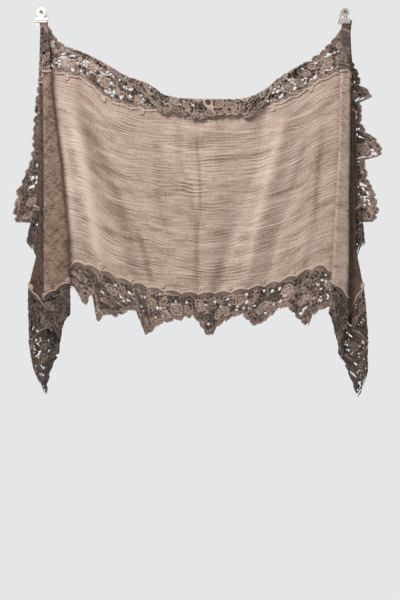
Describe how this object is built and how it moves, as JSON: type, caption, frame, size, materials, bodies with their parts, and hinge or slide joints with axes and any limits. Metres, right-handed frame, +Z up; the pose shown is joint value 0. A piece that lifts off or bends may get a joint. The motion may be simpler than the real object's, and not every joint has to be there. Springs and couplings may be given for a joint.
{
  "type": "lace-edged gauze shawl hung on bulldog clips and nails",
  "caption": "Crinkled gauze shawl with a wide felted lace border, hung by its top edge from bulldog clips on nails, with a swag between them and a folded tail beyond each.",
  "frame": {"origin": "on the wall plane, midway between the holes that the clips hang by", "axes": "+Z up, +Y into the wall, +X to the right seen from the front"},
  "size_m": [0.9965, 0.0662, 1.0508],
  "materials": {
    "crinkled_gauze": "matte loosely woven gauze with fine crinkles",
    "felted_lace": "matte felted wool cords and net, slightly hairy",
    "nickel_plate": "polished nickel plate",
    "nail_steel": "dull dark steel"
  },
  "bodies": {
    "root": {"gauze_centre": "crinkled_gauze", "gauze_tail_left": "crinkled_gauze", "gauze_tail_right": "crinkled_gauze", "lace_top_centre": "felted_lace", "lace_hem_centre": "felted_lace", "lace_bunch_left": "felted_lace", "lace_bunch_right": "felted_lace", "lace_outer_left": "felted_lace", "lace_outer_right": "felted_lace", "lace_end_left": "felted_lace", "lace_end_right": "felted_lace", "lace_hem_left": "felted_lace", "lace_hem_right": "felted_lace", "clip_front_left": "nickel_plate", "clip_front_right": "nickel_plate", "clip_back_left": "nickel_plate", "clip_back_right": "nickel_plate", "clip_spring_left": "nickel_plate", "clip_spring_right": "nickel_plate", "nail_left": "nail_steel", "nail_right": "nail_steel"}
  },
  "joints": []
}
